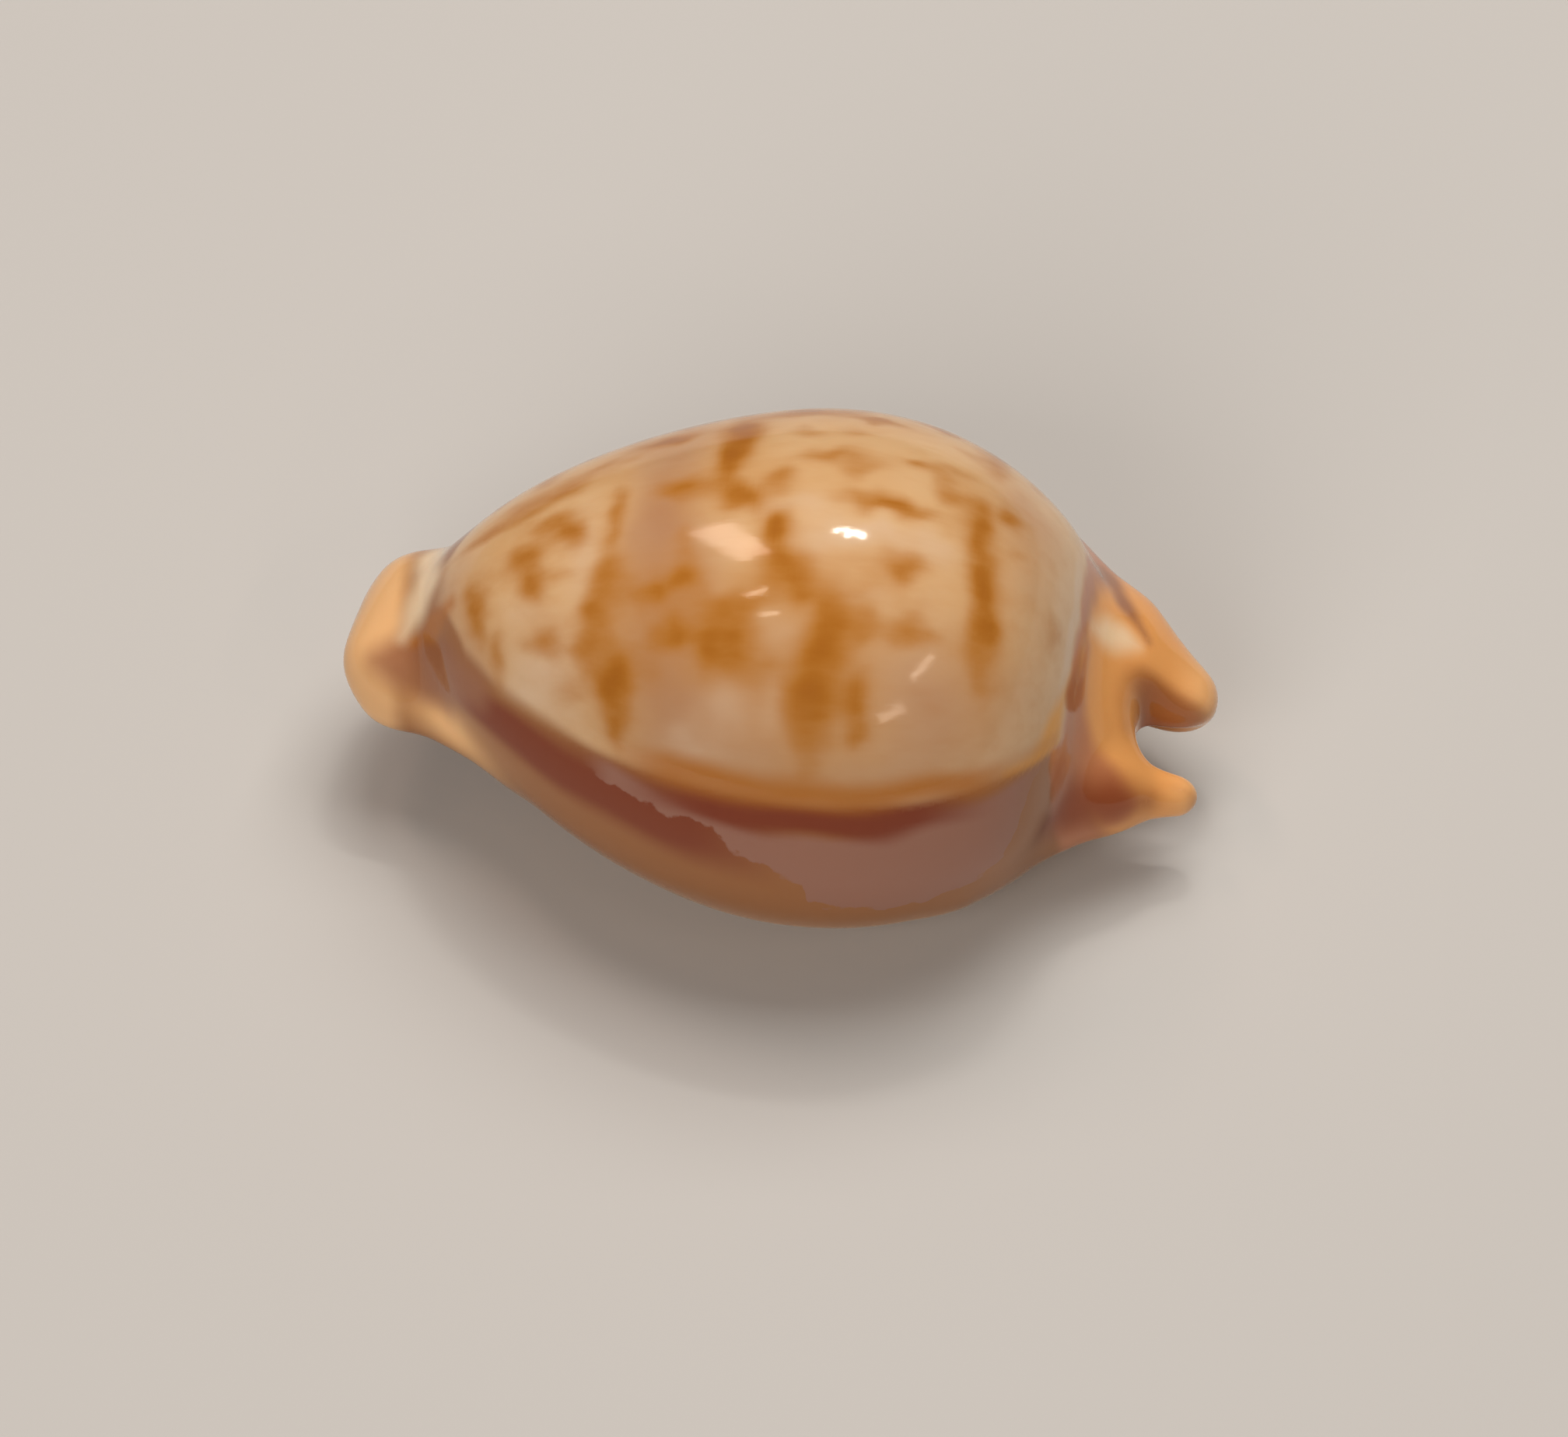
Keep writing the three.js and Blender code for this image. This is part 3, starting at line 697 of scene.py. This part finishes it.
class Paint:
    """Short calls for building one material's nodes."""

    def __init__(self, name):
        self.material = bpy.data.materials.new(name)
        self.material.use_nodes = True
        self.nodes = self.material.node_tree.nodes
        self.links = self.material.node_tree.links
        self.shader = self.nodes["Principled BSDF"]

    def feed(self, socket, value):
        if isinstance(value, bpy.types.NodeSocket):
            self.links.new(value, socket)
        else:
            socket.default_value = value

    def mask(self, name):
        node = self.nodes.new("ShaderNodeAttribute")
        node.attribute_name = name
        return node.outputs["Fac"]

    def noise(self, scale, detail=3.0, stretch_by=(1, 1, 1)):
        place = self.nodes.new("ShaderNodeTexCoord")
        mapping = self.nodes.new("ShaderNodeMapping")
        mapping.inputs["Scale"].default_value = stretch_by
        node = self.nodes.new("ShaderNodeTexNoise")
        node.inputs["Scale"].default_value = scale
        node.inputs["Detail"].default_value = detail
        self.links.new(place.outputs["Object"], mapping.inputs["Vector"])
        self.links.new(mapping.outputs["Vector"], node.inputs["Vector"])
        return node.outputs["Fac"]

    def math(self, operation, a, b):
        node = self.nodes.new("ShaderNodeMath")
        node.operation = operation
        self.feed(node.inputs[0], a)
        self.feed(node.inputs[1], b)
        return node.outputs["Value"]

    def ramp(self, value, start, end, low=0.0, high=1.0):
        node = self.nodes.new("ShaderNodeMapRange")
        node.interpolation_type = "SMOOTHSTEP"
        self.feed(node.inputs["Value"], value)
        for name, number in (("From Min", start), ("From Max", end), ("To Min", low), ("To Max", high)):
            node.inputs[name].default_value = number
        return node.outputs["Result"]

    def mix(self, a, b, share):
        node = self.nodes.new("ShaderNodeMix")
        node.data_type = "RGBA"
        self.feed(node.inputs["Factor"], share)
        first, second = (socket for socket in node.inputs if socket.type == "RGBA")
        self.feed(first, a)
        self.feed(second, b)
        return next(socket for socket in node.outputs if socket.type == "RGBA")


def layer(paint, colour, over, mask, strength=1.0):
    """Lays one colour over another by a named mask."""
    return paint.mix(colour, over, paint.math("MULTIPLY", paint.mask(mask), strength))


def dorsum_colour(paint):
    """Cream ground with tan, pink and lilac-white clouds, and soft ochre blotches."""
    mottle = paint.ramp(paint.noise(1300, 4, (0.35, 1, 1)), 0.4, 0.75, 0.0, 0.3)
    colour = layer(paint, paint.mix(CREAM, GOLDEN_TAN, mottle), GOLDEN_TAN, "tan_cloud", 0.9)
    colour = layer(paint, colour, PINK, "pink_cloud", 0.9)
    colour = layer(paint, colour, LILAC_WHITE, "pale_cloud", 0.85)
    colour = layer(paint, colour, GOLDEN_TAN, "haze", 0.45)
    fine = paint.ramp(paint.noise(1000, 4, (0.3, 1, 1)), 0.25, 0.75, -0.09, 0.09)
    broad = paint.ramp(paint.noise(350, 2), 0.3, 0.7, -0.07, 0.07)
    strength = paint.math("ADD", paint.mask("blotch"), paint.math("ADD", fine, broad))
    colour = paint.mix(colour, OCHRE, paint.ramp(strength, 0.0, 0.9, 0.0, 0.95))
    return paint.mix(colour, DARK_OCHRE, paint.ramp(strength, 0.6, 1.1, 0.0, 0.8))


def flank_colour(paint):
    """Tan margin, dark stripe, lilac callus with its ragged edge, and the dorsum's red edge."""
    colour = layer(paint, TAN, ORANGE_TAN, "orange_margin", 1.0)
    colour = layer(paint, colour, RED_BROWN, "stripe", 0.9)
    ragged = paint.math("ADD", paint.mask("callus"), paint.ramp(paint.noise(1500, 4), 0.2, 0.8, -1.2, 1.2))
    callus = paint.math("MULTIPLY", paint.ramp(ragged, -0.4, 0.5), paint.mask("callus_top"))
    colour = paint.mix(colour, LILAC, paint.math("MULTIPLY", callus, 0.9))
    return layer(paint, colour, RED_BROWN, "red_edge", 0.95)


def shell_material():
    """Glossy enamel: the flank with the dorsum over it, and then the marks (some of them painted shade, one
    a painted highlight), base and inside.
    """
    paint = Paint("cowrie enamel")
    colour = layer(paint, flank_colour(paint), ORANGE, "back")
    # mauve of the back valley, partly the shell's own colour and partly painted shade
    colour = layer(paint, colour, MAUVE, "valley", 0.95)
    dorsum = layer(paint, dorsum_colour(paint), GOLDEN_OCHRE, "golden", 1.0)
    colour = paint.mix(colour, dorsum, paint.mask("dorsum"))
    for over, mask, strength in (
        (EDGE_OCHRE, "ochre_edge", 0.8),
        (PEACH, "rim", 0.9),
        # painted highlight along the dorsum's back edge
        (LILAC_WHITE, "back_lip_highlight", 0.6),
        # painted shade in the back crease
        (SHADE_MAUVE, "crease_shade", 0.95),
        # painted shade below the columellar lobe's root
        (RED_BROWN, "lobe_root_shade", 0.75),
        (SHADE_MAUVE, "front_shade", 0.9),
        (EDGE_OCHRE, "front_ochre", 0.75),
        (PALE, "boss", 0.75),
        # painted shade on the notch's inner wall
        (RED_BROWN, "notch_wall_shade", 0.7),
        (PALE, "furrow", 0.8),
        (BASE, "under", 1.0),
        (GUTTER, "gutter", 0.8),
        (TOOTH, "tooth", 0.9),
        (INSIDE, "inside", 1.0),
    ):
        colour = layer(paint, colour, over, mask, strength)
    shader = paint.shader
    paint.feed(shader.inputs["Base Color"], colour)
    paint.feed(shader.inputs["Roughness"], paint.ramp(paint.noise(500, 4), 0.3, 0.7, 0.07, 0.13))
    shader.inputs["IOR"].default_value = 1.48
    shader.inputs["Specular IOR Level"].default_value = 0.4
    shader.inputs["Subsurface Weight"].default_value = 0.12
    shader.inputs["Subsurface Radius"].default_value = (0.9, 0.45, 0.25)
    shader.inputs["Subsurface Scale"].default_value = 0.8 * MM
    bump = paint.nodes.new("ShaderNodeBump")
    bump.inputs["Strength"].default_value = 0.12
    bump.inputs["Distance"].default_value = 0.12 * MM
    fine_lines = paint.math("MULTIPLY", paint.noise(2600, 2, (0.08, 1, 1)), 0.3)
    paint.feed(bump.inputs["Height"], paint.math("ADD", paint.noise(420, 2, (0.4, 1, 1)), fine_lines))
    paint.feed(shader.inputs["Normal"], bump.outputs["Normal"])
    return paint.material


def shell_piece():
    """Builds the shell in the place of the model's solid, and gives back how far it was moved."""
    points, faces = surface_of(shell_field)
    points = relax(settle(points, shell_field, 3), faces, shell_field, 2)
    normals = slope_of(shell_field, points)
    normals /= np.linalg.norm(normals, axis=1)[:, None]
    masks = paint_masks(points, normals)

    low, high = (np.array(corner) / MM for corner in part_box("shell"))
    shift = (low + high) / 2 - (points.max(0) + points.min(0)) / 2
    shift[2] = low[2] - points[:, 2].min()
    mesh = bpy.data.meshes.new("cowrie_shell")
    mesh.from_pydata(((points + shift) * MM).tolist(), [], faces.tolist())
    for name, values in masks.items():
        mesh.attributes.new(name, "FLOAT", "POINT").data.foreach_set("value", values.astype(np.float32))
    mesh.polygons.foreach_set("use_smooth", np.ones(len(faces), bool))
    mesh.normals_split_custom_set_from_vertices(normals.tolist())
    mesh.materials.append(shell_material())
    piece = bpy.data.objects.new("cowrie_shell", mesh)
    bpy.context.collection.objects.link(piece)
    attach(piece, "root")
    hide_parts("shell")
    return shift


def view_axes():
    """Directions of the photo's view: right, up, and back towards the camera."""
    azimuth, elevation = math.radians(CAMERA_AZIMUTH), math.radians(CAMERA_ELEVATION)
    back = Vector((
        math.sin(azimuth) * math.cos(elevation),
        -math.cos(azimuth) * math.cos(elevation),
        math.sin(elevation),
    ))
    right = Vector((math.cos(azimuth), math.sin(azimuth), 0))
    return right, back.cross(right), back


def camera(shift):
    """Camera at the photo's angle, moved sideways so that the known point meets its pixel."""
    right, up, back = view_axes()
    data = bpy.data.cameras.new("camera")
    data.sensor_width = SENSOR_WIDTH
    data.lens = SENSOR_WIDTH * CAMERA_DISTANCE * PIXELS_PER_MM / IMAGE_WIDTH
    data.clip_end = CLIP_END
    aside = (IMAGE_WIDTH / 2 - AIM_PIXEL[0]) / PIXELS_PER_MM
    lower = (IMAGE_HEIGHT / 2 - AIM_PIXEL[1]) / PIXELS_PER_MM
    place = Vector(AIM_POINT) + Vector(shift) + back * CAMERA_DISTANCE + right * aside - up * lower
    item = bpy.data.objects.new("camera", data)
    item.location = place * MM
    item.rotation_mode = "QUATERNION"
    item.rotation_quaternion = (-back).to_track_quat("-Z", "Y")
    bpy.context.collection.objects.link(item)
    bpy.context.scene.camera = item


# Lights: name, direction from the shell, direction of the long side, distance in mm,
# length and width in mm, watts, colour, and whether the light shows in reflections
LIGHTS = (
    ("key_left", (0.11, 0.44, 0.89), (1, -0.4, 0), 320, 20, 9, 0.040, (1.0, 0.95, 0.88), True),
    ("key_middle", (0.06, 0.44, 0.90), (0.5, 1, 0), 320, 17, 7, 0.030, (1.0, 0.95, 0.88), True),
    ("key_right", (0.02, 0.46, 0.89), (1, 0.3, 0), 320, 24, 8, 0.040, (1.0, 0.95, 0.88), True),
    ("window", (-0.40, 0.38, 0.83), (-0.5, 1, 0), 340, 110, 40, 0.11, (1.0, 0.72, 0.58), True),
    ("lamp_high", (0.56, -0.41, 0.72), (0.30, 0.46, 0.14), 340, 75, 9, 0.032, (1.0, 0.80, 0.62), True),
    ("lamp_low", (0.39, -0.72, 0.56), (0.40, 0.30, 0.1), 340, 60, 22, 0.03, (1.0, 0.80, 0.62), True),
    ("lamp_left", (-0.36, -0.02, 0.93), (1, 0.6, 0), 340, 32, 6, 0.012, (1.0, 0.80, 0.62), True),
    ("lamp_left_low", (-0.31, -0.19, 0.93), (1, 0.2, 0), 340, 30, 5, 0.009, (1.0, 0.80, 0.62), True),
    ("ceiling", (0.15, 0.38, 0.92), (1, 0, 0), 420, 300, 300, 1.5, (1.0, 0.95, 0.88), False),
    ("front_fill", (-0.3, -0.75, 0.5), (1, 0, 0), 420, 260, 260, 0.95, (1.0, 0.94, 0.88), False),
)
WORLD_COLOUR = (0.50, 0.48, 0.46, 1)
WORLD_STRENGTH = 0.14
LIGHT_TARGET = Vector((0, 0, 9))


def lights():
    for name, direction, long_side, distance, length, width, watts, colour, shows in LIGHTS:
        data = bpy.data.lights.new(name, "AREA")
        data.shape = "RECTANGLE"
        data.size = length * MM
        data.size_y = width * MM
        data.energy = watts
        data.color = colour
        item = bpy.data.objects.new(name, data)
        aim = Vector(direction).normalized()
        item.location = (LIGHT_TARGET + aim * distance) * MM
        across = aim.cross(Vector(long_side)).normalized()
        item.rotation_mode = "QUATERNION"
        item.rotation_quaternion = Matrix((across.cross(aim), across, aim)).transposed().to_quaternion()
        item.visible_glossy = shows
        bpy.context.collection.objects.link(item)


def world():
    scene = bpy.context.scene
    scene.world = bpy.data.worlds.new("studio")
    scene.world.use_nodes = True
    background = scene.world.node_tree.nodes["Background"]
    background.inputs["Color"].default_value = WORLD_COLOUR
    background.inputs["Strength"].default_value = WORLD_STRENGTH
    scene.view_settings.view_transform = "Standard"
    scene.view_settings.look = "None"


def floor():
    reach = 3.0
    mesh = bpy.data.meshes.new("floor")
    corners = [(-reach, -reach, 0), (reach, -reach, 0), (reach, reach, 0), (-reach, reach, 0)]
    mesh.from_pydata(corners, [], [(0, 1, 2, 3)])
    paint = Paint("pale floor")
    paint.feed(paint.shader.inputs["Base Color"], FLOOR_COLOUR)
    paint.shader.inputs["Roughness"].default_value = 0.7
    mesh.materials.append(paint.material)
    item = bpy.data.objects.new("floor", mesh)
    bpy.context.collection.objects.link(item)


shell_shift = shell_piece()
camera(shell_shift)
lights()
world()
floor()
